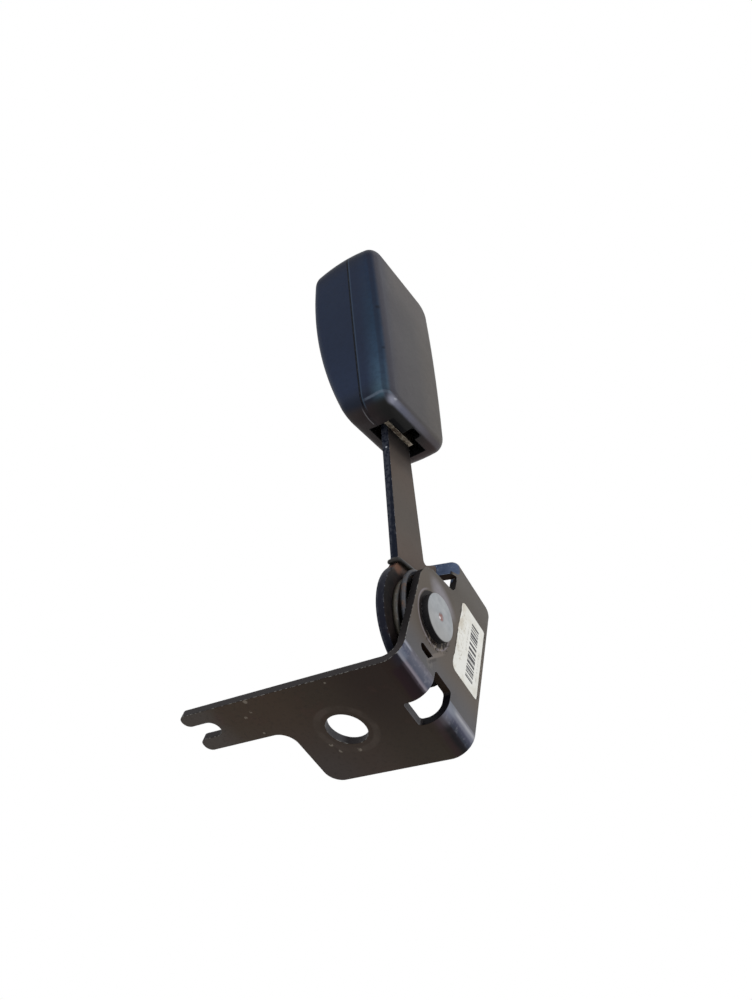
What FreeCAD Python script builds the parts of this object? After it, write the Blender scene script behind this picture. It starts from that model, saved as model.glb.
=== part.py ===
# Seat belt buckle on a bent anchor bracket. Millimetres, +Z up.
# The origin is the centre of the bolt hole on the underside of the bracket's floor flange.
# +X runs along the bend, +Y from the upright flange towards the fork arm, and the stalk leans towards -X.

import FreeCAD, Part
import math
import os

V = FreeCAD.Vector
X, Y, Z = V(1, 0, 0), V(0, 1, 0), V(0, 0, 1)

# Anchor bracket, pressed from one sheet
PLATE = 2.65
BRACKET_HALF_WIDTH = 22.6
BEND_OUTER_R = 7.4
FLANGE_FRONT_Y = -33.3
BOLT_HOLE_R = 7.05
FLANGE_TOP_Z = 64.2
FLANGE_CORNER_R = 3.0
LOBE_CORNER_Z = 36.5
LOBE_CORNER_R = 10.5
LOBE_SLOPE_DEG = 15.0
LOBE_SLOPE_AT = (-5.2, 48.7)
NOTCH_R = 3.2
TAB_ROOT_X = -1.9
TAB_BOTTOM_Z = 57.6
TAB_LENGTH = 12.8
TAB_BEND_R = 0.15
TAB_OUTER_R = PLATE + TAB_BEND_R
TAB_LEAN_DEG = 10.0
WINDOW_X = (-4.9, 5.4)
WINDOW_TOP_Z = 10.7
WINDOW_BACK_Y = -23.7
WINDOW_R = 1.0
LANCE = [(-14.6, 12.4), (-13.5, 11.3), (-9.7, 11.3), (-7.5, 14.1), (-13.7, 14.1), (-14.6, 13.4)]
FLOOR_REAR_Y = 20.1
FLOOR_CORNER_R = 5.5
ARM_RIGHT_X = -4.7
ARM_END_Y = 55.1
ARM_FILLET_R = 6.0
TINE_R = 2.6
FORK_WIDTH = 6.8
FORK_X = -13.85
FORK_BOTTOM_Y = 43.0

# Pivot stack on the upright flange
RIVET_X = -10.5
RIVET_Z = 27.7
RIVET_SHANK_R = 5.0
RIVET_HEAD_R = 8.1
RIVET_HEAD_H = 2.55
RIVET_DIMPLE_R = 1.5
RIVET_TAIL_R = 8.0
RIVET_TAIL_H = 2.2
RIVET_FIT = 0.04
BUSH_WALL = 1.6
BUSH_FLANGE_R = 9.2
BUSH_FLANGE_T = 1.1
BUSH_FIT = 0.06
WASHER_T = 1.0
WASHER_R = 10.5
WAVE_T = 0.5
WAVE_RISE = 0.35
STACK_PLAY = 0.05

# Return spring round the bush
SPRING_WIRE_R = 0.88
SPRING_SIDES = 12
SPRING_GAP = 0.03
SPRING_TURN = [(0, 14.9), (45, 15.4), (80, 15.0), (120, 14.6), (240, 13.7), (330, 12.8), (400, 12.7), (421, 12.9),
               (438, 13.3), (452, 14.1), (469, 15.5), (480, 16.3), (500, 16.9), (524, 16.9)]
SPRING_DROP_DEG = (120.0, 395.0)
HAIRPIN_U = 5.0
HAIRPIN_W = 16.3
LEG_W = 17.9
HOOK_W = 18.75
HOOK_SHOULDER = 0.8
HOOK_CLEAR = 0.1
HOOK_BEND_R = 1.1
HOOK_DROP = 0.4

# Stalk: forged eye disc and strap, in its own u (across), v (from the flange front), w (along) frame
LEAN_DEG = 25.5
BACK_LEAN_DEG = 2.5
BACK_BEND_W = 21.6
STRAP_FRONT_V = 6.3
STRAP_T = 2.9
DISC_R = 20.4
STRAP_LOW_W = 27.0
STRAP_TOP_W = 67.5
STRAP_LEFT = (9.6, 7.8)
STRAP_RIGHT = (8.4, 8.3)
STRAP_END_W = 103.0
LEFT_SHOULDER_R = 7.0
RIGHT_SHOULDER_R = 1.5
STOP_LUG_TOP_W = 29.4
STOP_LUG_SLOPE = 0.42
STOP_LUG_CORNER_R = 0.9
STOP_GAP = 0.4

# Buckle head
HEAD_HALF_TOP = 24.1
HEAD_HALF_BOTTOM = 21.6
HEAD_SIDE_CROWN = 0.7
HEAD_TURN_DEG = 0.6
HEAD_TURN_W = 150.0
HEAD_FRONT_V = -4.3
HEAD_FRONT_CROWN = 0.7
PARTING_V = 7.9
HEAD_BOTTOM_W = 77.6
HEAD_BOTTOM_CROWN = 0.9
HEAD_TOP_W = 164.0
HEAD_TOP_CROWN = 2.4
HEAD_REAR_V = 27.1
HEAD_REAR_W = 138.6
HEAD_REAR_R = 170.0
HEAD_TOP_CORNER_R = 8.8
HEAD_LOW_CORNER_R = 8.0
HEAD_FRONT_EDGE_R = 5.0
HEAD_REAR_EDGE_R = 3.6
COVER_WALL = 2.2
PARTING_BREAK = 0.3
COVER_JOINT = 0.02
RIB_T = 1.4
FRONT_RIB_W = (104.0, 127.0, 152.0)
REAR_RIB_W = (116.0, 136.0)
STRAP_SLOT_U = (-10.7, 13.2)
STRAP_SLOT_V = (3.2, 11.8)
SLOT_POCKET_V = 1.3
SLOT_NOTCH_U = (-1.3, 4.8)
SLOT_NOTCH_V = -1.5
SLOT_NOTCH_R = 1.5

# Steel frame and lock inside the head
FRAME_T = 1.9
FRAME_HALF_U = 15.6
FRAME_TAIL_HALF_U = 9.5
FRAME_BOTTOM_W = 78.5
FRAME_WIDE_W = 90.0
FRAME_TOP_W = 156.0
FRAME_SIDE_V = 21.0
BRIDGE_T = 1.4
BRIDGE_BOTTOM_W = 110.5
SEAT_W = 141.0
SEAT_HALF_U = 3.6
SEAT_V = 15.6
FRAME_SIDE_W = (104.0, 150.0)
FRAME_RIVET_R = 2.6
FRAME_RIVET_HEAD_R = 4.3
FRAME_RIVET_HEAD_H = 1.5
FRAME_RIVET_LIFT = 4.4
FRAME_RIVET_PITCH = 9.0
GUIDE_HALF_U = 17.5
GUIDE_V = (3.2, 13.4)
GUIDE_W = 148.0
MOUTH_HALF_U = 12.8
MOUTH_V = (5.6, 11.2)
BUTTON_HALF_U = 13.6
BUTTON_V = (13.8, 23.6)
BUTTON_BOTTOM_W = 148.5
BUTTON_TOP_W = 163.4
BUTTON_TRAVEL = 4.0
BUTTON_GAP = 0.35
BUTTON_CORNER_R = 1.5
LEG_T = 1.8
LEG_V = (15.0, 19.2)
LEG_BOTTOM_W = 133.4
LATCH_PIN_R = 1.5
LATCH_PIN_V = 14.0
LATCH_PIN_W = 108.0
LATCH_FIT = 0.05
LATCH_T = 1.6
LATCH_HALF_U = 7.6
LATCH_HOOK_W = 137.6
LATCH_HOOK_V = 9.9
LATCH_HOOK_HALF_U = 4.0
LATCH_HOOK_GAP = 0.5
LOCK_BAR_R = 1.5
LOCK_BAR_V = 17.1
LOCK_BAR_W = 131.6
EJECTOR_HALF_U = 10.5
EJECTOR_SLOT_W = 135.0
EJECTOR_V = (6.6, 9.2)
EJECTOR_W = (119.0, 142.5)
EJECTOR_SPRING_R = 1.0
EJECTOR_WIRE_R = 0.28
BUTTON_SPRING_R = 1.9
BUTTON_WIRE_R = 0.3
LATCH_SPRING_R = 2.0
LATCH_WIRE_R = 0.3
LATCH_SPRING_W = 115.5

# Label
LABEL_X = (3.6, 21.6)
LABEL_Z = (19.9, 51.3)
LABEL_R = 2.5
LABEL_T = 0.12


def box(x0, x1, y0, y1, z0, z1):
    return Part.makeBox(x1 - x0, y1 - y0, z1 - z0, V(x0, y0, z0))


def cyl(r, h, at, axis):
    return Part.makeCylinder(r, h, at, axis)


def ring(r_out, r_in, h, at, axis):
    return cyl(r_out, h, at, axis).cut(cyl(r_in, h, at, axis))


def rounded(points):
    """Closed wire through points given as (vector, radius), with a tangent arc at each corner."""
    edges, arcs = [], []
    n = len(points)
    for i in range(n):
        p, r = points[i]
        a = (points[i - 1][0] - p).normalize()
        b = (points[(i + 1) % n][0] - p).normalize()
        if r <= 0:
            arcs.append((p, None, p))
            continue
        half = a.getAngle(b) / 2
        bis = (a + b).normalize()
        reach = r / math.tan(half)
        centre = p + bis * (r / math.sin(half))
        arcs.append((p + a * reach, centre - bis * r, p + b * reach))
    for i in range(n):
        start, mid, end = arcs[i]
        if mid is not None:
            edges.append(Part.Arc(start, mid, end).toShape())
        follow = arcs[(i + 1) % n][0]
        if (follow - end).Length > 1e-6:
            edges.append(Part.LineSegment(end, follow).toShape())
    return Part.Wire(edges)


def prism(points, place, along):
    """Solid from a rounded outline: place maps (a, b) to a vector, along is the extrusion."""
    wire = rounded([(place(a, b), r) for a, b, r in points])
    return Part.Face(wire).extrude(along)


def solid(shape):
    return shape.removeSplitter()


def write(name, shape):
    shape.exportStep("parts/" + name + ".step")


def seat(shape):
    """Turns a shape from the head's frame to the eye's frame: the slight turn of the head and the backward bend."""
    shape = shape.copy()
    shape.rotate(V(0, 0, HEAD_TURN_W), Y, HEAD_TURN_DEG)
    shape.rotate(V(0, STRAP_FRONT_V, BACK_BEND_W), X, -BACK_LEAN_DEG)
    return shape


def lean_low(shape):
    """Moves a shape from the eye's frame, u v w with w along the stalk, to the part's frame."""
    shape = shape.copy()
    shape.rotate(V(0, 0, 0), Y, -LEAN_DEG)
    shape.translate(V(RIVET_X, FLANGE_FRONT_Y, RIVET_Z))
    return shape


def lean(shape):
    """Moves a shape from the head's frame to the part's frame."""
    return lean_low(seat(shape))


def uw(v):
    return lambda u, w: V(u, v, w)


def bulged(a, b, bulge, out):
    """Edge from a to b that bulges by that much towards out at its middle."""
    return Part.Arc(a, (a + b) * 0.5 + out * bulge, b).toShape()


def head_form(inset):
    """Solid form of the head, drawn in by inset on every side: crowned faces, a bowed rear and rounded edges."""
    front, bottom, top = HEAD_FRONT_V + inset, HEAD_BOTTOM_W + inset, HEAD_TOP_W - inset
    rear_r = HEAD_REAR_R - inset
    rear = lambda w: HEAD_REAR_V - HEAD_REAR_R + math.sqrt(rear_r ** 2 - (w - HEAD_REAR_W) ** 2)
    middle = (bottom + top) / 2
    wide = HEAD_HALF_TOP + 5
    corners = [V(-wide, front, bottom), V(-wide, front, top), V(-wide, rear(top), top), V(-wide, rear(bottom), bottom)]
    outline = Part.Wire([
        bulged(corners[0], corners[1], HEAD_FRONT_CROWN, -Y), bulged(corners[1], corners[2], HEAD_TOP_CROWN, Z),
        Part.Arc(corners[2], V(-wide, rear(middle), middle), corners[3]).toShape(), bulged(corners[3], corners[0], HEAD_BOTTOM_CROWN, -Z)])
    body = Part.Face(outline).extrude(X * (2 * wide))
    high, low = HEAD_HALF_TOP - inset, HEAD_HALF_BOTTOM - inset
    beyond = 10.0
    flare = beyond * (high - low) / (top - bottom)
    near = front - 5
    plan = [V(-low + flare, near, bottom - beyond), V(low - flare, near, bottom - beyond), V(high + flare, near, top + beyond), V(-high - flare, near, top + beyond)]
    plan = Part.Wire([Part.LineSegment(plan[0], plan[1]).toShape(), bulged(plan[1], plan[2], HEAD_SIDE_CROWN, X),
                      Part.LineSegment(plan[2], plan[3]).toShape(), bulged(plan[3], plan[0], HEAD_SIDE_CROWN, -X)])
    body = body.common(Part.Face(plan).extrude(Y * (HEAD_REAR_V - near + 10)))
    for level, radius in ((top, HEAD_TOP_CORNER_R), (bottom, HEAD_LOW_CORNER_R)):
        along = [e for e in body.Edges if e.BoundBox.YLength > 8 and e.BoundBox.XLength < 3 and abs(e.CenterOfMass.z - level) < 4 and e.BoundBox.ZLength < 8]
        body = body.makeFillet(radius - inset, along)
    face = min(body.Faces, key=lambda f: f.CenterOfMass.y)
    body = body.makeFillet(HEAD_FRONT_EDGE_R - inset, face.Edges)
    face = max(body.Faces, key=lambda f: f.CenterOfMass.y)
    return body.makeFillet(HEAD_REAR_EDGE_R - inset, face.Edges)


def bent(points, bend, steps):
    """Points of a line whose corners are rounded to the bend radius, each in that many steps."""
    line = [points[0]]
    for i in range(1, len(points) - 1):
        p = points[i]
        a, b = points[i - 1] - p, points[i + 1] - p
        la, lb = a.Length, b.Length
        a, b = a.normalize(), b.normalize()
        half = a.getAngle(b) / 2
        reach = min(0.48 * la, 0.48 * lb, bend / math.tan(half))
        r = reach * math.tan(half)
        centre = p + (a + b).normalize() * (r / math.sin(half))
        start, end = p + a * reach - centre, p + b * reach - centre
        angle = start.getAngle(end)
        for k in range(steps + 1):
            t = k / steps
            line.append(centre + start * (math.sin((1 - t) * angle) / math.sin(angle)) + end * (math.sin(t * angle) / math.sin(angle)))
    return line + [points[-1]]


def wire_along(line, radius, sides):
    """Wire with a many-sided section along a line of points."""
    heading = (line[1] - line[0]).normalize()
    side = heading.cross(X if abs(heading.x) < 0.9 else Z).normalize()
    up = side.cross(heading)
    ring_points = [line[0] + side * (radius * math.cos(2 * math.pi * k / sides)) + up * (radius * math.sin(2 * math.pi * k / sides)) for k in range(sides)]
    return Part.makePolygon(line).makePipeShell([Part.makePolygon(ring_points + ring_points[:1])], True, False, 1)


os.makedirs("parts", exist_ok=True)

# Anchor bracket
# Two flat flanges and the bend between them come from the same sheet thickness.
YF = FLANGE_FRONT_Y
BEND_Y, BEND_Z = YF + BEND_OUTER_R, BEND_OUTER_R
HALF = BRACKET_HALF_WIDTH
slope = math.tan(math.radians(LOBE_SLOPE_DEG))
lobe = lambda x: LOBE_SLOPE_AT[1] + slope * (x - LOBE_SLOPE_AT[0])
flange = prism([
    (-HALF, BEND_Z, 0), (HALF, BEND_Z, 0), (HALF, FLANGE_TOP_Z, FLANGE_CORNER_R),
    (TAB_ROOT_X, FLANGE_TOP_Z, 0), (TAB_ROOT_X, lobe(TAB_ROOT_X), NOTCH_R), (-HALF, lobe(-HALF), LOBE_CORNER_R),
], lambda x, z: V(x, YF, z), Y * PLATE)
fork_l, fork_r = FORK_X - FORK_WIDTH / 2, FORK_X + FORK_WIDTH / 2
fork_round = FORK_WIDTH / 2 - 1e-4
floor = prism([
    (-HALF, BEND_Y, 0), (HALF, BEND_Y, 0), (HALF, FLOOR_REAR_Y, FLOOR_CORNER_R),
    (ARM_RIGHT_X, FLOOR_REAR_Y, ARM_FILLET_R), (ARM_RIGHT_X, ARM_END_Y, TINE_R), (fork_r, ARM_END_Y, TINE_R),
    (fork_r, FORK_BOTTOM_Y, fork_round), (fork_l, FORK_BOTTOM_Y, fork_round),
    (fork_l, ARM_END_Y, TINE_R), (-HALF, ARM_END_Y, TINE_R),
], lambda x, y: V(x, y, 0), Z * PLATE)
bend = cyl(BEND_OUTER_R, 2 * HALF, V(-HALF, BEND_Y, BEND_Z), X).cut(cyl(BEND_OUTER_R - PLATE, 2 * HALF, V(-HALF, BEND_Y, BEND_Z), X))
bend = bend.common(box(-HALF, HALF, YF - 1, BEND_Y, -1, BEND_Z))
tab_at = V(TAB_ROOT_X, YF + TAB_OUTER_R, TAB_BOTTOM_Z)
tab_high = FLANGE_TOP_Z - TAB_BOTTOM_Z
tab_bend = Part.makeCylinder(TAB_OUTER_R, tab_high, tab_at, Z, 90 - TAB_LEAN_DEG)
tab_bend.rotate(tab_at, Z, 180 + TAB_LEAN_DEG)
tab_bend = tab_bend.cut(cyl(TAB_OUTER_R - PLATE, tab_high, tab_at, Z))
tab = Part.makeBox(PLATE, TAB_LENGTH - TAB_OUTER_R, tab_high, tab_at - X * TAB_OUTER_R)
tab.rotate(tab_at, Z, TAB_LEAN_DEG)
bracket = flange.fuse([floor, bend, tab_bend, tab])
wx0, wx1 = WINDOW_X
window = prism([(wx0, -1, 0), (wx1, -1, 0), (wx1, WINDOW_TOP_Z, WINDOW_R), (wx0, WINDOW_TOP_Z, WINDOW_R)],
               lambda x, z: V(x, YF - 1, z), Y * (BEND_OUTER_R + 1))
window = window.fuse(prism([(wx0, YF - 1, 0), (wx1, YF - 1, 0), (wx1, WINDOW_BACK_Y, WINDOW_R), (wx0, WINDOW_BACK_Y, WINDOW_R)],
                           lambda x, y: V(x, y, -1), Z * (BEND_OUTER_R + 1)))
lance = prism([(x, z, 0) for x, z in LANCE], lambda x, z: V(x, YF - 1, z), Y * (PLATE + 2))
rivet_at = V(RIVET_X, YF, RIVET_Z)
bracket = bracket.cut(window).cut(lance).cut(cyl(BOLT_HOLE_R, PLATE + 2, V(0, 0, -1), Z))
bracket = solid(bracket.cut(cyl(RIVET_SHANK_R + RIVET_FIT, PLATE + 2, rivet_at - Y, Y)))
write("anchor_bracket", bracket)

# Pivot rivet
# The stack behind the flange is bush collar, stalk eye, spring washer, back washer and upset tail.
eye_front = STRAP_FRONT_V
eye_back = STRAP_FRONT_V + STRAP_T
washer_front = eye_back + WAVE_T + WAVE_RISE + STACK_PLAY
tail_front = washer_front + WASHER_T
head = cyl(RIVET_HEAD_R, RIVET_HEAD_H, rivet_at - Y * RIVET_HEAD_H, Y)
head = head.makeFillet(0.4, [e for e in head.Edges if abs(e.BoundBox.YMin - (YF - RIVET_HEAD_H)) < 1e-5 and e.BoundBox.YLength < 1e-5])
dimple = Part.makeCone(RIVET_DIMPLE_R, 0.3, 0.7, rivet_at - Y * RIVET_HEAD_H, Y)
shank = cyl(RIVET_SHANK_R, tail_front, rivet_at, Y)
tail = cyl(RIVET_TAIL_R, RIVET_TAIL_H, rivet_at + Y * tail_front, Y)
tail = tail.makeFillet(1.2, [e for e in tail.Edges if abs(e.BoundBox.YMax - (YF + tail_front + RIVET_TAIL_H)) < 1e-5 and e.BoundBox.YLength < 1e-5])
write("pivot_rivet", solid(head.fuse([shank, tail]).cut(dimple)))

# Pivot bush with its collar between the flange and the stalk eye
bush_in = RIVET_SHANK_R + RIVET_FIT
bush_out = bush_in + BUSH_WALL
collar = ring(BUSH_FLANGE_R, bush_in, eye_front - STACK_PLAY - PLATE, rivet_at + Y * PLATE, Y)
sleeve = ring(bush_out, bush_in, washer_front - eye_front + STACK_PLAY, rivet_at + Y * (eye_front - STACK_PLAY), Y)
write("pivot_bush", solid(collar.fuse(sleeve)))

# Dished spring washer and flat washer behind the eye
dish_in, dish_out = bush_out + 0.15, BUSH_FLANGE_R + 0.6
dish_wire = Part.makePolygon([V(dish_in, 0, 0), V(dish_out, WAVE_RISE, 0), V(dish_out, WAVE_RISE + WAVE_T, 0), V(dish_in, WAVE_T, 0), V(dish_in, 0, 0)])
dish = Part.Face(dish_wire).revolve(V(0, 0, 0), Y, 360)
dish.translate(rivet_at + Y * (eye_back + STACK_PLAY))
write("spring_washer", dish)
write("back_washer", ring(WASHER_R, bush_in, WASHER_T, rivet_at + Y * washer_front, Y))


def edge_at(pair, w):
    """Half width of the strap at w along it, from its two listed half widths."""
    return pair[0] + (pair[1] - pair[0]) * (w - STRAP_LOW_W) / (STRAP_TOP_W - STRAP_LOW_W)


# Return spring
# The fixed leg passes into the lanced slot, the coil runs clockwise, and the free leg hooks over the strap's left edge.
lean_u = V(math.cos(math.radians(LEAN_DEG)), 0, math.sin(math.radians(LEAN_DEG)))
lean_w = V(-math.sin(math.radians(LEAN_DEG)), 0, math.cos(math.radians(LEAN_DEG)))
at = lambda u, v, w: rivet_at + lean_u * u + Y * v + lean_w * w
first_v = STRAP_FRONT_V - SPRING_WIRE_R - SPRING_GAP
last_v = PLATE + SPRING_WIRE_R + SPRING_GAP


def turn_radius(sweep):
    """Radius of the coil after that many degrees of its turn, eased between the listed ones."""
    for (s0, r0), (s1, r1) in zip(SPRING_TURN, SPRING_TURN[1:]):
        if sweep <= s1:
            t = (sweep - s0) / (s1 - s0)
            return r0 + (r1 - r0) * t
    return SPRING_TURN[-1][1]


coil = []
sweep_end = SPRING_TURN[-1][0]
steps = int(sweep_end / 9)
for i in range(2, steps + 1):
    sweep = sweep_end * i / steps
    t = min(max((sweep - SPRING_DROP_DEG[0]) / (SPRING_DROP_DEG[1] - SPRING_DROP_DEG[0]), 0), 1)
    a = math.radians(-90 - sweep)
    r = (turn_radius(max(sweep - 6, 0)) + turn_radius(sweep) + turn_radius(min(sweep + 6, sweep_end))) / 3
    coil.append(rivet_at + V(r * math.cos(a), first_v + (last_v - first_v) * t, r * math.sin(a)))
slot_x = sum(p[0] for p in LANCE) / len(LANCE) + 1.0
slot_z = sum(p[1] for p in LANCE) / len(LANCE) + 0.1
fixed = bent([V(slot_x, YF + PLATE * 0.4, slot_z), V(slot_x, YF + first_v, slot_z), coil[0]], 1.2, 5)[:-1]
hook_u = -(edge_at(STRAP_LEFT, HOOK_W) + HOOK_SHOULDER + SPRING_WIRE_R + HOOK_CLEAR)
leg = bent([coil[-1], at(HAIRPIN_U, last_v, HAIRPIN_W), at(HAIRPIN_U, first_v, LEG_W), at(hook_u, first_v, HOOK_W), at(hook_u, eye_back, HOOK_W - HOOK_DROP)], HOOK_BEND_R, 6)[1:]
spring = wire_along(fixed + coil + leg, SPRING_WIRE_R, SPRING_SIDES)
write("return_spring", spring)

# Buckle strap: eye disc, shoulders and tapered strap in one piece with a slight backward bend
disc = cyl(DISC_R, 30, V(0, 0, 0), Y)
strip = prism([(-edge_at(STRAP_LEFT, 0), 0, 0), (edge_at(STRAP_RIGHT, 0), 0, 0),
               (edge_at(STRAP_RIGHT, STRAP_END_W), STRAP_END_W, 2.5), (-edge_at(STRAP_LEFT, STRAP_END_W), STRAP_END_W, 2.5)], uw(0), Y * 30)
# The stop lug's end stands upright, a small gap from the bracket's stop tab at the back of the strap
tab_lean = math.radians(TAB_LEAN_DEG)
tab_x = TAB_ROOT_X - TAB_OUTER_R / math.cos(tab_lean) - (eye_back - TAB_OUTER_R) * math.tan(tab_lean)
tab_u = (tab_x - RIVET_X) * lean_u.x + (TAB_BOTTOM_Z - RIVET_Z) * lean_u.z - STOP_GAP * lean_u.x
tab_w = (tab_x - RIVET_X) * lean_w.x + (TAB_BOTTOM_Z - RIVET_Z) * lean_w.z - STOP_GAP * lean_w.x
stop_u = lambda w: tab_u + (w - tab_w) * lean_u.z / lean_w.z
lug = prism([(0, STOP_LUG_TOP_W - STOP_LUG_SLOPE * stop_u(STOP_LUG_TOP_W), 0), (stop_u(STOP_LUG_TOP_W), STOP_LUG_TOP_W, STOP_LUG_CORNER_R),
             (stop_u(DISC_R * 0.7), DISC_R * 0.7, 0), (0, 0, 0)], uw(0), Y * 30)
blank = solid(disc.fuse([strip, lug]))


def upright(e):
    return len(e.Vertexes) == 2 and abs(e.BoundBox.YLength - 30) < 1e-3 and e.BoundBox.XLength < 1e-3 and e.BoundBox.ZLength < 1e-3


left_neck = [e for e in blank.Edges if upright(e) and abs(math.hypot(e.Vertexes[0].X, e.Vertexes[0].Z) - DISC_R) < 1e-3
             and e.Vertexes[0].Z > 0 and e.Vertexes[0].X < -2]
right_neck = [e for e in blank.Edges if upright(e) and DISC_R < e.Vertexes[0].Z < STOP_LUG_TOP_W
              and abs(e.Vertexes[0].X - edge_at(STRAP_RIGHT, e.Vertexes[0].Z)) < 0.05]
blank = blank.makeFillet(LEFT_SHOULDER_R, left_neck)
right_neck = [e for e in blank.Edges if upright(e) and any((e.CenterOfMass - o.CenterOfMass).Length < 1e-3 for o in right_neck)]
blank = blank.makeFillet(RIGHT_SHOULDER_R, right_neck)
s, c = math.sin(math.radians(BACK_LEAN_DEG)), math.cos(math.radians(BACK_LEAN_DEG))
reach = STRAP_END_W + 10
side = Part.makePolygon([
    V(-30, eye_front, -30), V(-30, eye_front, BACK_BEND_W), V(-30, eye_front + s * reach, BACK_BEND_W + c * reach),
    V(-30, eye_front + s * reach + c * STRAP_T, BACK_BEND_W + c * reach - s * STRAP_T),
    V(-30, eye_back, BACK_BEND_W - STRAP_T * math.tan(math.radians(BACK_LEAN_DEG / 2))), V(-30, eye_back, -30), V(-30, eye_front, -30)])
strap = blank.common(Part.Face(side).extrude(X * 60))
strap = strap.cut(cyl(bush_out + BUSH_FIT, 30, V(0, 0, 0), Y))
rivet_low = FRAME_BOTTOM_W + COVER_WALL + FRAME_RIVET_HEAD_R + FRAME_RIVET_LIFT
rivet_rows = (rivet_low, rivet_low + FRAME_RIVET_PITCH)
for w in rivet_rows:
    strap = strap.cut(seat(cyl(FRAME_RIVET_R, 20, V(0, 0, w), Y)))
strap = solid(strap)
write("buckle_strap", lean_low(strap))

# Steel frame: base plate in front of the strap, with side walls turned back
base_front = STRAP_FRONT_V - FRAME_T
base = prism([
    (-FRAME_TAIL_HALF_U, FRAME_BOTTOM_W, 0.8), (FRAME_TAIL_HALF_U, FRAME_BOTTOM_W, 0.8), (FRAME_TAIL_HALF_U, FRAME_WIDE_W, 2),
    (FRAME_HALF_U, FRAME_WIDE_W + 7, 2), (FRAME_HALF_U, FRAME_TOP_W, 3), (-FRAME_HALF_U, FRAME_TOP_W, 3),
    (-FRAME_HALF_U, FRAME_WIDE_W + 7, 2), (-FRAME_TAIL_HALF_U, FRAME_WIDE_W, 2),
], uw(base_front), Y * FRAME_T)
sides = []
for sign in (-1, 1):
    u0, u1 = sorted((sign * FRAME_HALF_U, sign * (FRAME_HALF_U - FRAME_T)))
    wall = box(u0, u1, base_front, FRAME_SIDE_V, FRAME_SIDE_W[0], FRAME_SIDE_W[1])
    corners = [e for e in wall.Edges if e.BoundBox.XLength > 1 and abs(e.BoundBox.YMax - FRAME_SIDE_V) < 1e-5 and e.BoundBox.YLength < 1e-5 and e.BoundBox.ZLength < 1e-5]
    sides.append(wall.makeFillet(4.0, corners))
bridge = box(-FRAME_HALF_U, FRAME_HALF_U, FRAME_SIDE_V - BRIDGE_T, FRAME_SIDE_V, BRIDGE_BOTTOM_W, SEAT_W + BRIDGE_T)
spring_seat = box(-SEAT_HALF_U, SEAT_HALF_U, SEAT_V, FRAME_SIDE_V - BRIDGE_T / 2, SEAT_W, SEAT_W + BRIDGE_T)
frame = base.fuse(sides + [bridge, spring_seat])
slot_r = LOCK_BAR_R + 0.15
slot = prism([(LOCK_BAR_V - slot_r, LOCK_BAR_W - BUTTON_TRAVEL - slot_r, slot_r - 1e-3), (LOCK_BAR_V + slot_r, LOCK_BAR_W - BUTTON_TRAVEL - slot_r, slot_r - 1e-3),
              (LOCK_BAR_V + slot_r, LOCK_BAR_W + slot_r, slot_r - 1e-3), (LOCK_BAR_V - slot_r, LOCK_BAR_W + slot_r, slot_r - 1e-3)],
             lambda v, w: V(-20, v, w), X * 40)
frame = frame.cut(slot).cut(cyl(LATCH_PIN_R, 40, V(-20, LATCH_PIN_V, LATCH_PIN_W), X))
hook_window = box(-LATCH_HALF_U - 0.6, LATCH_HALF_U + 0.6, base_front - 1, STRAP_FRONT_V + 0.01, LATCH_HOOK_W - 5, LATCH_HOOK_W + 1.5)
frame = frame.cut(hook_window)
for w in rivet_rows:
    frame = frame.cut(cyl(FRAME_RIVET_R, 20, V(0, 0, w), Y))
write("buckle_frame", lean(solid(frame)))

# Two rivets join the frame to the strap
rivets = []
for w in rivet_rows:
    body = cyl(FRAME_RIVET_R, FRAME_T + STRAP_T, V(0, base_front, w), Y)
    front = cyl(FRAME_RIVET_HEAD_R, FRAME_RIVET_HEAD_H, V(0, base_front - FRAME_RIVET_HEAD_H, w), Y)
    back = cyl(FRAME_RIVET_HEAD_R, FRAME_RIVET_HEAD_H, V(0, eye_back, w), Y)
    rivets.append(solid(body.fuse([front, back])))
write("frame_rivets", lean(Part.makeCompound(rivets)))

# Moulded covers
# Both are the same hollow form, split at the parting plane, with a slot for the strap below and the mouth above.
outer, inner = head_form(0), head_form(COVER_WALL)
shell = outer.cut(inner)
cut_low, cut_high = HEAD_BOTTOM_W - HEAD_BOTTOM_CROWN - 1, HEAD_BOTTOM_W + COVER_WALL + 1
strap_slot = box(STRAP_SLOT_U[0], STRAP_SLOT_U[1], STRAP_SLOT_V[0], STRAP_SLOT_V[1], cut_low, cut_high)
slot_pocket = box(SLOT_NOTCH_U[1] - 0.1, STRAP_SLOT_U[1], SLOT_POCKET_V, STRAP_SLOT_V[0] + 0.1, cut_low, cut_high)
slot_notch = prism([(SLOT_NOTCH_U[0], STRAP_SLOT_V[0] + 0.1, 0), (SLOT_NOTCH_U[1], STRAP_SLOT_V[0] + 0.1, 0),
                    (SLOT_NOTCH_U[1], SLOT_NOTCH_V, SLOT_NOTCH_R), (SLOT_NOTCH_U[0], SLOT_NOTCH_V, SLOT_NOTCH_R)],
                   lambda u, v: V(u, v, cut_low), Z * (cut_high - cut_low))
over_top = HEAD_TOP_W + HEAD_TOP_CROWN + 1
mouth = box(-GUIDE_HALF_U, GUIDE_HALF_U, GUIDE_V[0], GUIDE_V[1], HEAD_TOP_W - COVER_WALL - 1, over_top)
button_hole = box(-BUTTON_HALF_U - BUTTON_GAP, BUTTON_HALF_U + BUTTON_GAP, GUIDE_V[1] - 0.1, BUTTON_V[1] + BUTTON_GAP, HEAD_TOP_W - COVER_WALL - 4, over_top)
shell = shell.cut(strap_slot).cut(slot_pocket).cut(slot_notch).cut(mouth).cut(button_hole)
front_half = box(-40, 40, -20, PARTING_V - COVER_JOINT / 2, 0, 300)
rear_half = box(-40, 40, PARTING_V + COVER_JOINT / 2, 60, 0, 300)
rib_space = head_form(COVER_WALL * 0.9)
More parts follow.
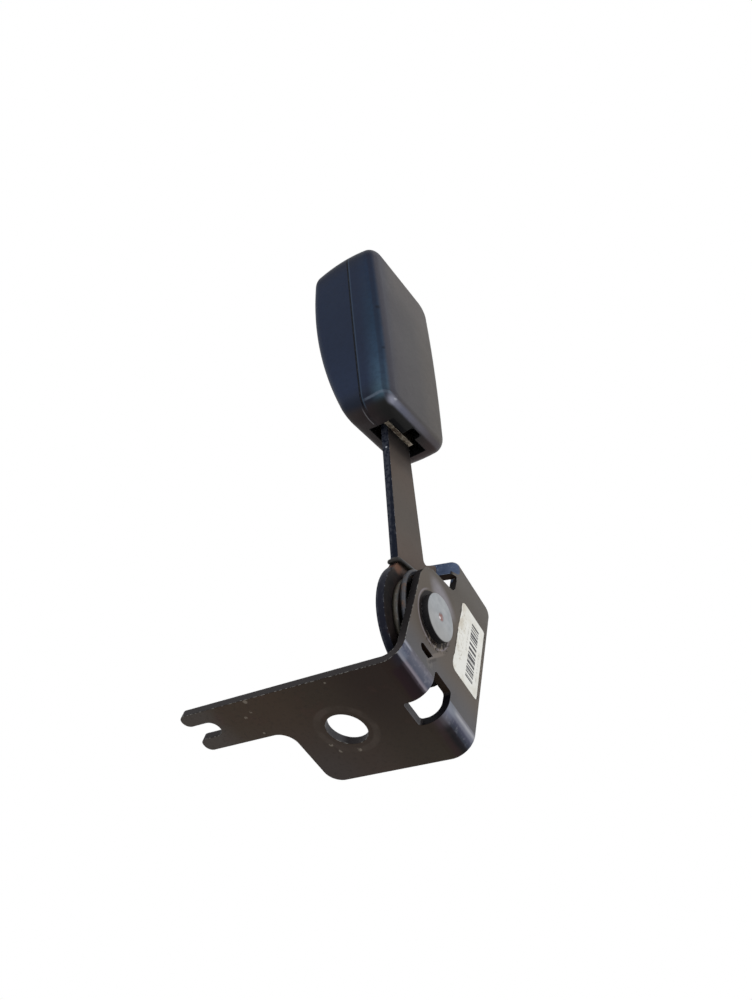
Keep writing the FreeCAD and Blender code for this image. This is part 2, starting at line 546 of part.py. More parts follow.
front_cover = shell.common(front_half)
for w in FRONT_RIB_W:
    rib = box(-40, 40, -20, PARTING_V - COVER_JOINT / 2, w - RIB_T / 2, w + RIB_T / 2).common(rib_space)
    front_cover = front_cover.fuse(rib.cut(box(-FRAME_HALF_U - 0.1, FRAME_HALF_U + 0.1, base_front, 40, 0, 300)))
rear_cover = shell.common(rear_half)
for w in REAR_RIB_W:
    rib = box(-FRAME_HALF_U + 2, FRAME_HALF_U - 2, FRAME_SIDE_V + 0.02, 40, w - RIB_T / 2, w + RIB_T / 2).common(rib_space)
    rear_cover = rear_cover.fuse(rib)
write("front_cover", lean(solid(front_cover)))
write("rear_cover", lean(solid(rear_cover)))

# Tongue guide at the mouth
guide = head_form(COVER_WALL * 0.25).common(box(-GUIDE_HALF_U + 0.1, GUIDE_HALF_U - 0.1, GUIDE_V[0] + 0.1, GUIDE_V[1] - 0.1, FRAME_TOP_W + 0.1, over_top))
guide = guide.cut(box(-MOUTH_HALF_U, MOUTH_HALF_U, MOUTH_V[0], MOUTH_V[1], GUIDE_W, over_top))
write("tongue_guide", lean(solid(guide)))

# Press button with two legs that reach the lock bar
button = prism([(-BUTTON_HALF_U, BUTTON_V[0], BUTTON_CORNER_R), (BUTTON_HALF_U, BUTTON_V[0], BUTTON_CORNER_R),
                (BUTTON_HALF_U, BUTTON_V[1], BUTTON_CORNER_R), (-BUTTON_HALF_U, BUTTON_V[1], BUTTON_CORNER_R)],
               lambda u, v: V(u, v, BUTTON_BOTTOM_W), Z * (BUTTON_TOP_W - BUTTON_BOTTOM_W))
button = button.makeFillet(BUTTON_CORNER_R * 0.6, [e for e in button.Edges if abs(e.BoundBox.ZMin - BUTTON_TOP_W) < 1e-5])
button = button.cut(box(-BUTTON_HALF_U + 2, BUTTON_HALF_U - 2, BUTTON_V[0] + 2, BUTTON_V[1] - 2, BUTTON_BOTTOM_W - 1, BUTTON_TOP_W - 2.2))
leg_u = FRAME_HALF_U - FRAME_T - 0.4
legs = [box(min(s * leg_u, s * (leg_u - LEG_T)), max(s * leg_u, s * (leg_u - LEG_T)), LEG_V[0], LEG_V[1], LEG_BOTTOM_W, BUTTON_BOTTOM_W + 1) for s in (-1, 1)]
write("press_button", lean(solid(button.fuse(legs))))

# Lock bar across the frame's side slots
write("lock_bar", lean(cyl(LOCK_BAR_R, 2 * FRAME_HALF_U + 2, V(-FRAME_HALF_U - 1, LOCK_BAR_V, LOCK_BAR_W), X)))

# Latch pin and latch plate with its hooked end
write("latch_pin", lean(cyl(LATCH_PIN_R, 2 * FRAME_HALF_U + 1, V(-FRAME_HALF_U - 0.5, LATCH_PIN_V, LATCH_PIN_W), X)))
plate_v = LATCH_PIN_V - LATCH_T / 2
latch = box(-LATCH_HALF_U, LATCH_HALF_U, plate_v, plate_v + LATCH_T, LATCH_PIN_W, LATCH_HOOK_W)
latch = latch.fuse(box(-LATCH_HOOK_HALF_U, LATCH_HOOK_HALF_U, LATCH_HOOK_V, plate_v + LATCH_T, LATCH_HOOK_W - LATCH_T, LATCH_HOOK_W))
latch = latch.fuse(cyl(LATCH_PIN_R + LATCH_T, 2 * LATCH_HALF_U, V(-LATCH_HALF_U, LATCH_PIN_V, LATCH_PIN_W), X))
latch = latch.cut(cyl(LATCH_PIN_R + LATCH_FIT, 40, V(-20, LATCH_PIN_V, LATCH_PIN_W), X))
write("latch_plate", lean(solid(latch)))

# Ejector and its spring
ejector = box(-EJECTOR_HALF_U, EJECTOR_HALF_U, EJECTOR_V[0], EJECTOR_V[1], EJECTOR_W[0], EJECTOR_W[1])
hook_slot = LATCH_HOOK_HALF_U + LATCH_HOOK_GAP
ejector = ejector.cut(box(-hook_slot, hook_slot, EJECTOR_V[0] - 1, EJECTOR_V[1] + 1, EJECTOR_SLOT_W, EJECTOR_W[1] + 1))
write("ejector", lean(ejector))


def coil_spring(u, v, w0, w1, mean_r, wire_r, turns):
    """Compression spring of flat-sided wire, for the springs that stay out of sight."""
    steps = int(turns * 10)
    rise = w1 - w0 - 2 * wire_r
    path = []
    for i in range(steps + 1):
        a = 2 * math.pi * turns * i / steps
        path.append(V(u + mean_r * math.cos(a), v + mean_r * math.sin(a), w0 + wire_r + rise * i / steps))
    heading = (path[1] - path[0]).normalize()
    side = heading.cross(Z).normalize()
    up = side.cross(heading)
    ring_points = [path[0] + side * (wire_r * math.cos(math.pi * k / 3)) + up * (wire_r * math.sin(math.pi * k / 3)) for k in range(6)]
    section = Part.makePolygon(ring_points + ring_points[:1])
    return Part.makePolygon(path).makePipeShell([section], True, False, 1)


ejector_mid = (EJECTOR_V[0] + EJECTOR_V[1]) / 2
write("ejector_spring", lean(coil_spring(0, ejector_mid, STRAP_END_W + 0.1, EJECTOR_W[0] - 0.05, EJECTOR_SPRING_R, EJECTOR_WIRE_R, 8)))

write("button_spring", lean(coil_spring(0, (BUTTON_V[0] + BUTTON_V[1]) / 2, SEAT_W + BRIDGE_T + 0.05, BUTTON_TOP_W - 2.25, BUTTON_SPRING_R, BUTTON_WIRE_R, 6)))
latch_top = plate_v + LATCH_T
cone = coil_spring(0, 0, latch_top + 0.03, FRAME_SIDE_V - BRIDGE_T - 0.03, LATCH_SPRING_R, LATCH_WIRE_R, 3.5)
cone.rotate(V(0, 0, 0), X, -90)
cone.translate(V(0, 0, LATCH_SPRING_W))
write("latch_spring", lean(cone))

# Barcode label on the upright flange
label = prism([(LABEL_X[0], LABEL_Z[0], LABEL_R), (LABEL_X[1], LABEL_Z[0], LABEL_R), (LABEL_X[1], LABEL_Z[1], LABEL_R), (LABEL_X[0], LABEL_Z[1], LABEL_R)],
              lambda x, z: V(x, YF - LABEL_T, z), Y * LABEL_T)
write("barcode_label", label)
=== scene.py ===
import math

import bmesh
import bpy
import numpy as np
from mathutils import Matrix, Vector


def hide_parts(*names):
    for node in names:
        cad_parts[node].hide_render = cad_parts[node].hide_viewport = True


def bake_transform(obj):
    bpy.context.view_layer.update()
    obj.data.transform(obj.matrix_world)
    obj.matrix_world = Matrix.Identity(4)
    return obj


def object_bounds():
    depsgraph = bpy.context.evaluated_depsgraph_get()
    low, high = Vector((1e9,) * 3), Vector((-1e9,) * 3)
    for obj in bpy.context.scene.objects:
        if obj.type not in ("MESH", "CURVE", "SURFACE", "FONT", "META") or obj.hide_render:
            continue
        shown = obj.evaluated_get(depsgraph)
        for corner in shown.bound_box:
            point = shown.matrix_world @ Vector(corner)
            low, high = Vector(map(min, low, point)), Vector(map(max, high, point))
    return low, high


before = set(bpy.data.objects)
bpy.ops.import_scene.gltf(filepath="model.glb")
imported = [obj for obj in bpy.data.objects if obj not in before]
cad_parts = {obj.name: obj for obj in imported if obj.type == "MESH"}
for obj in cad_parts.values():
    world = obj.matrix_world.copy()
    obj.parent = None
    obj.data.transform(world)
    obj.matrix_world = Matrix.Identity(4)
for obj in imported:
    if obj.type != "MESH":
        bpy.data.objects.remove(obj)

cad_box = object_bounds()


# Camera
# It looks up from below and in front of the buckle, close by, with a wide lens.
# Its heading counts from the Y axis, its rise from level, and its roll about its own line of sight.
camera_place = (-0.14699, -0.13522, -0.14549)
camera_heading, camera_rise, camera_roll = math.radians(-42.974), math.radians(53.058), math.radians(19.397)
upright = Matrix.Rotation(camera_heading, 4, "Z") @ Matrix.Rotation(camera_rise + math.pi / 2, 4, "X")
camera_data = bpy.data.cameras.new("camera")
camera_data.sensor_fit = "VERTICAL"
camera_data.sensor_height = 36.0
camera_data.lens = 26.79
camera_data.clip_start = 0.005
camera = bpy.data.objects.new("camera", camera_data)
camera.matrix_world = Matrix.Translation(camera_place) @ upright @ Matrix.Rotation(camera_roll, 4, "Z")
bpy.context.scene.collection.objects.link(camera)
bpy.context.scene.camera = camera
bpy.context.scene.view_settings.view_transform = "Standard"


# Anchor bracket
# The real piece is one pressed steel sheet, blacked, bent up at the front and lanced for the spring's leg.
# The coat's tone is painted by the way each face looks, as painted reflection and shade: brown-grey in
# front, navy on the stop tab and near black underneath. It is worn along its edges.
def rgb(code):
    """Linear colour of a six-digit sRGB code."""
    levels = [int(code[i:i + 2], 16) / 255 for i in (0, 2, 4)]
    linear = [s / 12.92 if s <= 0.04045 else ((s + 0.055) / 1.055) ** 2.4 for s in levels]
    return (*linear, 1.0)


class Wire:
    """A node's output. Sums, products and the like on it add the Math nodes that they stand for."""

    def __init__(self, skin, socket):
        self.skin, self.socket = skin, socket

    def calc(self, operation, *values):
        return self.skin.node("Math", {"operation": operation}, dict(enumerate(values)))

    def __add__(self, other):
        return self.calc("ADD", self, other)

    def __radd__(self, other):
        return self.calc("ADD", other, self)

    def __sub__(self, other):
        return self.calc("SUBTRACT", self, other)

    def __rsub__(self, other):
        return self.calc("SUBTRACT", other, self)

    def __mul__(self, other):
        return self.calc("MULTIPLY", self, other)

    def __rmul__(self, other):
        return self.calc("MULTIPLY", other, self)

    def __truediv__(self, other):
        return self.calc("DIVIDE", self, other)

    def __pow__(self, other):
        return self.calc("POWER", self, other)

    def __abs__(self):
        return self.calc("ABSOLUTE", self)

    def over(self, low, high):
        """0 below low, 1 above high, and a smooth rise between them."""
        ends = {1: low, 2: high, 3: 0.0, 4: 1.0}
        return self.skin.node("MapRange", {"interpolation_type": "SMOOTHSTEP"}, {0: self, **ends})

    def within(self, low, high, soft):
        """1 between low and high, fading to 0 over soft outside them."""
        return self.over(low - soft, low) * (1 - self.over(high, high + soft))


class Skin:
    """A material under construction, or the world. Every one of its nodes comes from node()."""

    def __init__(self, name, library=bpy.data.materials):
        self.material = library.new(name)
        self.material.use_nodes = True
        self.tree = self.material.node_tree
        self.tree.nodes.clear()
        self.place = self.node("TexCoord", out="Object")
        self.x, self.y, self.z = self.split(self.place)

    def node(self, kind, settings=None, sockets=None, out=0):
        """A shader node of a kind: its settings go first, then the values or links of its sockets."""
        made = self.tree.nodes.new("ShaderNode" + kind)
        for key, value in (settings or {}).items():
            setattr(made, key, value)
        for key, value in (sockets or {}).items():
            if isinstance(value, Wire):
                self.tree.links.new(value.socket, made.inputs[key])
            else:
                made.inputs[key].default_value = value
        return Wire(self, made.outputs[out]) if len(made.outputs) else None

    def split(self, vector):
        """The X, Y and Z parts of a vector."""
        made = self.node("SeparateXYZ", None, {0: vector})
        return [Wire(self, part) for part in made.socket.node.outputs]

    def noise(self, size, detail, rough, stretch=(1, 1, 1), shift=(0, 0, 0)):
        """Noise whose blotches are about size metres across, drawn out along an axis by stretch."""
        at = self.node("Mapping", {"vector_type": "POINT"},
                       {"Vector": self.place, "Location": shift, "Scale": [1 / s for s in stretch]})
        look = {"Scale": 1 / size, "Detail": detail, "Roughness": rough}
        return self.node("TexNoise", None, {"Vector": at, **look})

    def blend(self, factor, first, second):
        """Colour that goes from first to second as factor goes from 0 to 1."""
        return self.node("Mix", {"data_type": "RGBA"}, {0: factor, 6: first, 7: second}, out=2)

    def paint(self, tone, mask, code):
        """The colour tone, with the colour of a code laid over it where mask is 1."""
        return self.blend(mask, tone, rgb(code))

    def run(self, value, *stops):
        """Colour that passes through each (value, code) stop in turn."""
        tone = rgb(stops[0][1])
        for (low, _), (high, code) in zip(stops, stops[1:]):
            tone = self.paint(tone, value.over(low, high), code)
        return tone

    def toward(self, direction):
        """1 where the surface faces a direction of the part's own frame, 0 across it and -1 away from it."""
        ends = {0: self.node("TexCoord", out="Normal"), 1: Vector(direction).normalized()}
        return self.node("VectorMath", {"operation": "DOT_PRODUCT"}, ends, out="Value")

    def along(self, direction, origin=(0, 0, 0)):
        """Distance in metres along a direction from an origin."""
        ends = {0: self.place, 1: direction}
        reach = self.node("VectorMath", {"operation": "DOT_PRODUCT"}, ends, out="Value")
        return reach - Vector(direction).dot(Vector(origin))

    def near(self, point, radius):
        """1 at a point, fading to 0 at radius metres from it."""
        gap = self.node("VectorMath", {"operation": "DISTANCE"}, {0: self.place, 1: point}, out="Value")
        return 1 - gap.over(radius * 0.35, radius)

    def rounding(self, radius):
        """Normal of the surface with its edges rounded off, and how strongly a point lies on an edge."""
        soft = self.node("Bevel", {"samples": 6}, {"Radius": radius})
        ends = {0: soft, 1: self.node("NewGeometry", out="Normal")}
        return soft, 1 - self.node("VectorMath", {"operation": "DOT_PRODUCT"}, ends, out="Value")

    def finish(self, sockets, bump, depth, normal=None):
        """Ends the material in one principled shader, with a bump of that depth in metres on its normal."""
        relief = {"Height": bump, "Distance": depth, "Strength": 1.0}
        if normal is not None:
            relief["Normal"] = normal
        surface = self.node("BsdfPrincipled", None, {**sockets, "Normal": self.node("Bump", None, relief)})
        self.node("OutputMaterial", None, {"Surface": surface})
        return self.material


def dress(name, material):
    """Gives a node of the frame, or a piece of this scene, its one material."""
    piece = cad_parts.get(name) or bpy.data.objects[name]
    piece.data.materials.clear()
    piece.data.materials.append(material)


flange_front = -0.0333
rivet = Vector((-0.0105, flange_front, 0.0277))
steel = Skin("blacked bracket steel")
soft, edge = steel.rounding(0.0005)
front, left, under = steel.toward((0, -1, 0)), steel.toward((-1, 0, 0)), steel.toward((0, 0, -1))
x, y, z = steel.x, steel.y, steel.z
cloud = steel.noise(0.011, 4.0, 0.6)
fine = steel.noise(0.0016, 3.0, 0.6)
speck = steel.noise(0.0011, 2.0, 0.6, shift=(0.3, 0.1, 0.2))
# Broad faces, lit and shaded copies of one coat painted by facing: brown-grey in front, bluer near the bend,
# brown-black underneath with a little rust, and dark where a face looks neither way
face = steel.run(z, (0.008, "575658"), (0.02, "5b544e"), (0.036, "5b544d"), (0.05, "544f4a"),
                 (0.062, "5a5652"))
floor_left = steel.run(y, (-0.018, "241a15"), (0.0, "2d241c"), (0.018, "35291f"), (0.036, "352a20"),
                       (0.046, "3d3733"))
floor_right = steel.run(y, (-0.018, "2c241c"), (0.0, "342a24"), (0.016, "342d2a"), (0.046, "3d3834"))
floor_tone = steel.blend(x.over(-0.015, 0.02), floor_left, floor_right)
floor_rust = cloud.over(0.52, 0.72) * (1 - x.over(-0.01, 0.012))
floor_tone = steel.paint(floor_tone, floor_rust * 0.5, "3a2620")
floor_tone = steel.paint(floor_tone, fine.over(0.52, 0.7) * 0.35, "1d1814")
tone = steel.blend(front.over(0.1, 0.6), rgb("242223"), face)
tone = steel.blend(under.over(0.6, 0.97), tone, floor_tone)
# Cut edges that face left are painted near black as shade
cut_edge = left.over(0.6, 0.9)
tone = steel.blend(cut_edge, tone, steel.run(z, (0.004, "2b2829"), (0.012, "1d1b1c")))
# Stop tab: painted reflection gives the side that faces left and its corner a navy cast, with bright chips
tab_foot, tab_corner_at = 0.055, (-0.0037, flange_front, 0.0616)
tab_side = y.over(flange_front + 0.0011, flange_front + 0.0021) * z.over(tab_foot, tab_foot + 0.002)
tab_side = tab_side * left.over(0.2, 0.6)
tab_corner = steel.near(tab_corner_at, 0.0042).over(0.4, 0.6) * front.over(0.3, 0.6)
on_tab = (tab_side + tab_corner).over(0.1, 0.9)
tone = steel.blend(on_tab, tone, steel.run(cloud, (0.35, "48556d"), (0.6, "333f57")))
tab_chips = edge.over(0.02, 0.1) * fine.over(0.45, 0.6) + speck.over(0.64, 0.7) * 0.5
tone = steel.paint(tone, on_tab * tab_chips, "a5b0bf")
# Bend: painted highlights and shade round the curve. Left of the window a slate band with a pale line at its
# foot, right of it a bright line at its head, both lines partly scuff and partly painted highlight; each band
# darkens to painted shade as it turns under. Each band runs from the flange, where its value is 0, round to
# the floor's underside, where it is 1.
bend_y, bend_z = -0.0262, 0.0074
window_left, window_right = (-0.004, 0.004), (0.0075, 0.0118)
on_bend = (1 - y.over(bend_y, bend_y + 0.0006)) * (1 - z.over(bend_z, bend_z + 0.0002))
on_bend = on_bend * front.over(0.05, 0.2)
turned = under + (cloud - 0.5) * 0.08
band_end = steel.run(turned, (0.05, "64646c"), (0.12, "8e909b"), (0.2, "565a68"), (0.34, "454a5e"),
                     (0.5, "636978"), (0.63, "7d7f8a"), (0.7, "1f1d25"), (1.0, "261c17"))
band_left = steel.run(turned, (0.05, "5c5a61"), (0.17, "676670"), (0.34, "5a5c69"), (0.52, "515462"),
                      (0.63, "7f7983"), (0.69, "3a333a"), (0.77, "1c1317"), (0.94, "221519"), (1.0, "261c17"))
band_middle = steel.run(turned, (0.05, "737780"), (0.34, "7c808c"), (0.5, "666978"), (0.64, "5c5c66"),
                        (0.77, "464247"), (0.87, "372e32"), (1.0, "2c241e"))
band_right = steel.run(turned, (0.05, "6d6c73"), (0.17, "9a9ba1"), (0.34, "6f717d"), (0.5, "424453"),
                       (0.64, "333742"), (0.72, "1d1a20"), (0.8, "161518"), (0.94, "2c2020"), (1.0, "2c241e"))
band = steel.blend(x.over(-0.0195, -0.0175), band_end, band_left)
band = steel.blend(x.over(*window_left), band, band_middle)
band = steel.blend(x.over(*window_right), band, band_right)
band = steel.paint(band, fine.over(0.5, 0.68) * (1 - turned.over(0.6, 0.75)) * 0.3, "85868f")
tone = steel.blend(on_bend * (1 - cut_edge), tone, band)
# Round the rivet: a dark gap painted as the shadow of the head, inside a thin pressed line, a rise above it
# painted with a highlight where it catches light, and crumbs of dirt below. Each lies between two radii.
shaded_gap_radii, line_radii = (0.0075, 0.0094), (0.0100, 0.0103)
gleam_radii, crumb_radii = (0.0118, 0.0138), (0.0082, 0.0108)
across, rise = x - rivet.x, z - rivet.z
reach = (across * across + rise * rise) ** 0.5
upward = (across * 0.2 + rise * 0.98) / reach
downward = (across * 0.55 - rise * 0.84) / reach
on_face = front.over(0.9, 0.98)
gleam = reach.within(*gleam_radii, 0.0044) * upward.over(0.72, 0.98) * on_face
tone = steel.paint(tone, gleam * (0.55 + fine * 0.5), "87848a")
# Painted shadow of the rivet head darkens the gap round it
gap = reach.within(shaded_gap_radii[0], shaded_gap_radii[1] + (fine - 0.5) * 0.0008, 0.0003) * on_face
tone = steel.paint(tone, gap * 0.92, "131113")
pressed_line = reach.within(*line_radii, 0.0003) * (1 - upward.over(0.3, 0.8)) * on_face
tone = steel.paint(tone, pressed_line * 0.45, "9a939b")
crumbs = reach.within(*crumb_radii, 0.0008) * downward.over(0.45, 0.9) * on_face
tone = steel.paint(tone, crumbs * speck.over(0.45, 0.55), "231c1a")
tone = steel.paint(tone, crumbs * fine.over(0.54, 0.64) * 0.5, "938779")
# The lance has drawn up a low fold on its right, lit along its top and shaded along its foot
fold_foot = (-0.0096, 0, 0.0111)
fold_along, fold_over = steel.along((0.644, 0, 0.765), fold_foot), steel.along((0.765, 0, -0.644), fold_foot)
fold_top = fold_along.within(0.002, 0.010, 0.004) * fold_over.within(-0.0007, 0.0001, 0.0006) * on_face
fold_shade = fold_along.within(0.0, 0.0045, 0.0015) * fold_over.within(0.0006, 0.0010, 0.0006) * on_face
tone = steel.paint(tone, fold_top * 0.3, "8f857c")
tone = steel.paint(tone, fold_shade * 0.4, "2d2826")
# A pale worn patch at the lance, a faint ring where the bolt's washer sat, and a few chips on the floor
worn_lance = steel.near((-0.0085, flange_front, 0.0104), 0.0026) * on_face * fine.over(0.4, 0.6)
tone = steel.paint(tone, worn_lance * 0.2, "8d8880")
washer_radii = (0.0092, 0.0106)
bolt_reach = (x * x + y * y) ** 0.5
seat_ring = bolt_reach.within(*washer_radii, 0.0009) * under.over(0.9, 0.99) * cloud.over(0.35, 0.6)
tone = steel.paint(tone, seat_ring * 0.35, "4a423c")
chip_spots = (
    ((-0.0217, 0.0258, 0), 0.0012), ((-0.0151, 0.0304, 0), 0.0009), ((-0.0068, 0.0289, 0), 0.0007),
    ((0.0052, 0.0095, 0), 0.0011), ((0.0088, 0.0079, 0), 0.0011), ((0.0100, 0.0012, 0), 0.0012),
    ((-0.0207, -0.0052, 0), 0.0006), ((-0.017, 0.027, 0), 0.0008))
chips = sum(steel.near(point, size) for point, size in chip_spots)
tone = steel.paint(tone, (chips * speck.over(0.36, 0.5)).over(0.2, 0.9) * 0.4, "8b8378")
tone = steel.paint(tone, cloud.over(0.55, 0.8) * 0.22, "3a3532")
# The lance and the window keep clean edges: walls painted black as shade inside the openings, with a thin
# pale line on the face's side
openings_x, openings_top, openings_back, flange_back = (-0.0155, 0.0125), 0.0205, -0.0125, -0.0305
at_openings = x.within(*openings_x, 0.0005) * (1 - z.over(openings_top, openings_top + 0.0005))
at_openings = at_openings * (1 - y.over(openings_back, openings_back + 0.001))
behind, above = steel.toward((0, 1, 0)), steel.toward((0, 0, 1))
walls = at_openings * (1 - front.over(0.02, 0.1)) * (1 - under.over(0.02, 0.1)) * (1 - behind.over(0.5, 0.8))
floor_top = above.over(0.9, 0.99) * y.over(flange_back, flange_back + 0.0005)
tone = steel.paint(tone, walls * (1 - floor_top), "0c0b0f")
tone = steel.paint(tone, at_openings * on_face * edge.over(0.03, 0.12) * 0.35, "9b99a1")
# Bare metal shows through in short chips along the other edges
worn = (edge.over(0.03, 0.16) * speck.over(0.48, 0.56)).over(0.3, 0.9) * (1 - at_openings)
tone = steel.paint(tone, worn * (0.75 - under.over(0.5, 0.9) * 0.35), "9b9b98")
dress("anchor_bracket", steel.finish(
    {"Base Color": tone, "Metallic": worn * 0.5, "Roughness": 0.46 + (cloud - 0.5) * 0.2 - on_bend * 0.06,
     "Specular IOR Level": 0.06},
    bump=steel.noise(0.0007, 3.0, 0.6), depth=0.00002, normal=soft))


# Pivot rivet
# A large flat-headed steel rivet, zinc plated, with a small dimple in the middle where the forming tool
# stood. Its face is milky, its side dark with oil, and rust has started round the dimple.
zinc = Skin("dull zinc plate")
soft, edge = zinc.rounding(0.0004)
front = abs(zinc.toward((0, -1, 0)))
across, rise = zinc.x - rivet.x, zinc.z - rivet.z
reach = (across * across + rise * rise) ** 0.5
milk = zinc.noise(0.004, 4.0, 0.6)
grain = zinc.noise(0.0005, 2.0, 0.6)
tone = zinc.run(milk, (0.3, "8d9195"), (0.7, "a1a4a7"))
tone = zinc.paint(tone, (0 - rise).over(-0.002, 0.007) * 0.5, "94928f")
tone = zinc.blend(front.over(0.2, 0.85), rgb("111013"), tone)
dimple_radius, rust_radii, glint_radius = 0.0015, (0.0007, 0.0012), 0.00045
dimple = reach.within(0.0, dimple_radius, 0.0004) * front.over(0.3, 0.7)
rust_ring = reach.within(*rust_radii, 0.0003) * grain.over(0.3, 0.55)
tone = zinc.paint(tone, dimple * 0.55, "7d7a7e")
tone = zinc.paint(tone, rust_ring * 0.8, "8d5f55")
tone = zinc.paint(tone, reach.within(0.0, glint_radius, 0.0002), "e8dfe0")
tone = zinc.paint(tone, edge.over(0.02, 0.2) * grain.over(0.4, 0.6) * 0.6, "c9cbce")
dress("pivot_rivet", zinc.finish(
    {"Base Color": tone, "Metallic": 0.25, "Roughness": 0.5 + (milk - 0.5) * 0.2, "Specular IOR Level": 0.3},
    bump=grain, depth=0.00001, normal=soft))


# Bush and washers of the pivot
# A nylon bush keeps the eye free on the rivet. Behind the eye a dished and a flat washer of plated steel
# take up the play.
nylon = Skin("grey nylon")
film = nylon.noise(0.003, 3.0, 0.6)
tone = nylon.run(film, (0.35, "35322f"), (0.7, "4a453f"))
dress("pivot_bush", nylon.finish(
    {"Base Color": tone, "Roughness": 0.5 + film * 0.15, "Specular IOR Level": 0.3},
    bump=film, depth=0.00002))
washer = Skin("plated washer steel")
turned_marks = washer.noise(0.0006, 2.0, 0.6)
stain = washer.noise(0.003, 4.0, 0.65, shift=(0.1, 0.2, 0.3))
tone = washer.run(stain, (0.4, "8b8b88"), (0.7, "6a655e"))
washer.finish({"Base Color": tone, "Metallic": 0.7, "Roughness": 0.38 + stain * 0.25},
              bump=turned_marks, depth=0.00001)
for name in ("spring_washer", "back_washer"):
    dress(name, washer.material)


# Return spring
# One length of oiled spring wire: a leg in the lance, nearly one and a half turns round the bush, a hairpin,
# and a leg that hooks over the strap's left edge.
lean = math.radians(25.5)
lean_u = np.array([math.cos(lean), 0, math.sin(lean)])
lean_w = np.array([-math.sin(lean), 0, math.cos(lean)])
wire_radius, wire_step, wire_gap = 0.00088, 0.00025, 0.00003
plate, strap_front, strap_back = 0.00265, 0.0063, 0.0092
near_strap, near_flange = strap_front - wire_radius - wire_gap, plate + wire_radius + wire_gap


def stalk_at(u, v, w):
    """Place in the part's frame of a point across, behind and along the stalk, from the rivet's head."""
    return np.array(rivet) + lean_u * u + np.array([0, v, 0]) + lean_w * w


def rounded_line(points, bend, steps):
    """Points of a line whose corners are replaced by arcs of the bend radius, as far as the runs allow."""
    line = [points[:1]]
    for before, corner, after in zip(points[:-2], points[1:-1], points[2:]):
        a, b = before - corner, after - corner
        long_a, long_b = np.linalg.norm(a), np.linalg.norm(b)
        a, b = a / long_a, b / long_b
        half = math.acos(float(np.clip(a @ b, -1, 1))) / 2
        take = min(0.48 * long_a, 0.48 * long_b, bend / math.tan(half))
        radius = take * math.tan(half)
        centre = corner + (a + b) / np.linalg.norm(a + b) * (radius / math.sin(half))
        start, end = corner + a * take - centre, corner + b * take - centre
        angle = math.pi - 2 * half
        t = np.linspace(0, 1, steps)[:, None]
        arc = (start * np.sin((1 - t) * angle) + end * np.sin(t * angle)) / math.sin(angle)
        line.append(centre + arc)
    return np.concatenate(line + [points[-1:]])


def even(line, step):
    """The same line with its points step metres apart, each averaged with two on either side."""
    length = np.concatenate([[0], np.cumsum(np.linalg.norm(np.diff(line, axis=0), axis=1))])
    at = np.linspace(0, length[-1], int(length[-1] / step) + 1)
    out = np.stack([np.interp(at, length, line[:, i]) for i in range(3)], 1)
    padded = np.concatenate([np.repeat(out[:1], 2, 0), out, np.repeat(out[-1:], 2, 0)])
    shares = (0.1, 0.2, 0.4, 0.2, 0.1)
    softened = sum(share * padded[i:i + len(out)] for i, share in enumerate(shares))
    softened[0], softened[-1] = out[0], out[-1]
    return softened


def tube(name, grid):
    """Mesh of a grid of points, rows along and columns round, closed round and capped at both ends."""
    rows, columns = grid.shape[:2]
    index = np.arange(rows * columns).reshape(rows, columns)
    beside = np.roll(index, -1, axis=1)
    faces = np.stack([index[:-1], beside[:-1], beside[1:], index[1:]], -1).reshape(-1, 4).tolist()
    points = np.concatenate([grid.reshape(-1, 3), grid[0].mean(0)[None], grid[-1].mean(0)[None]])
    first, last = rows * columns, rows * columns + 1
    faces += np.stack([beside[0], index[0], np.full(columns, first)], -1).tolist()
    faces += np.stack([index[-1], beside[-1], np.full(columns, last)], -1).tolist()
    mesh = bpy.data.meshes.new(name)
    mesh.from_pydata(points.tolist(), [], faces)
    mesh.shade_smooth()
    piece = bpy.data.objects.new(name, mesh)
    bpy.context.scene.collection.objects.link(piece)
    return piece


# Coil: its radius in millimetres after each number of degrees, and its drop from the strap to the flange
turn_radii = ((0, 14.9), (45, 15.4), (80, 15.0), (120, 14.6), (240, 13.7), (330, 12.8), (400, 12.7),
              (421, 12.9), (438, 13.3), (452, 14.1), (469, 15.5), (480, 16.3), (500, 16.9), (524, 16.9))
drop_from, drop_over = 120, 275
sweep = np.linspace(18, turn_radii[-1][0], 400)
eased = [np.interp(sweep + d, *zip(*turn_radii)) for d in (-9, -6, -3, 0, 3, 6, 9)]
coil_radius = np.mean(eased, axis=0) / 1000
coil_angle = np.radians(-90 - sweep)
coil_depth = near_strap + (near_flange - near_strap) * np.clip((sweep - drop_from) / drop_over, 0, 1)
round_rivet = [coil_radius * np.cos(coil_angle), coil_depth, coil_radius * np.sin(coil_angle)]
coil = np.array(rivet) + np.stack(round_rivet, 1)
# Legs: one from the lance up to the coil, the other by the hairpin to the hook behind the strap's edge
lance_x, lance_z, lance_bend = -0.01125, 0.01287, 0.0012
in_lance = (lance_x, rivet.y + plate * 0.4, lance_z)
leg_in = np.array([in_lance, (lance_x, rivet.y + near_strap, lance_z), coil[0]])
hairpin_u, hook_u, hook_bend = 0.005, -0.01174, 0.0011
leg_out = np.array([
    coil[-1], stalk_at(hairpin_u, near_flange, 0.0163), stalk_at(hairpin_u, near_strap, 0.0179),
    stalk_at(hook_u, near_strap, 0.01875), stalk_at(hook_u, strap_back, 0.01835)])
route = [rounded_line(leg_in, lance_bend, 12)[:-1], coil, rounded_line(leg_out, hook_bend, 14)[1:]]
middle = even(np.concatenate(route), wire_step)
tangent = np.gradient(middle, axis=0)
tangent /= np.linalg.norm(tangent, axis=1)[:, None]
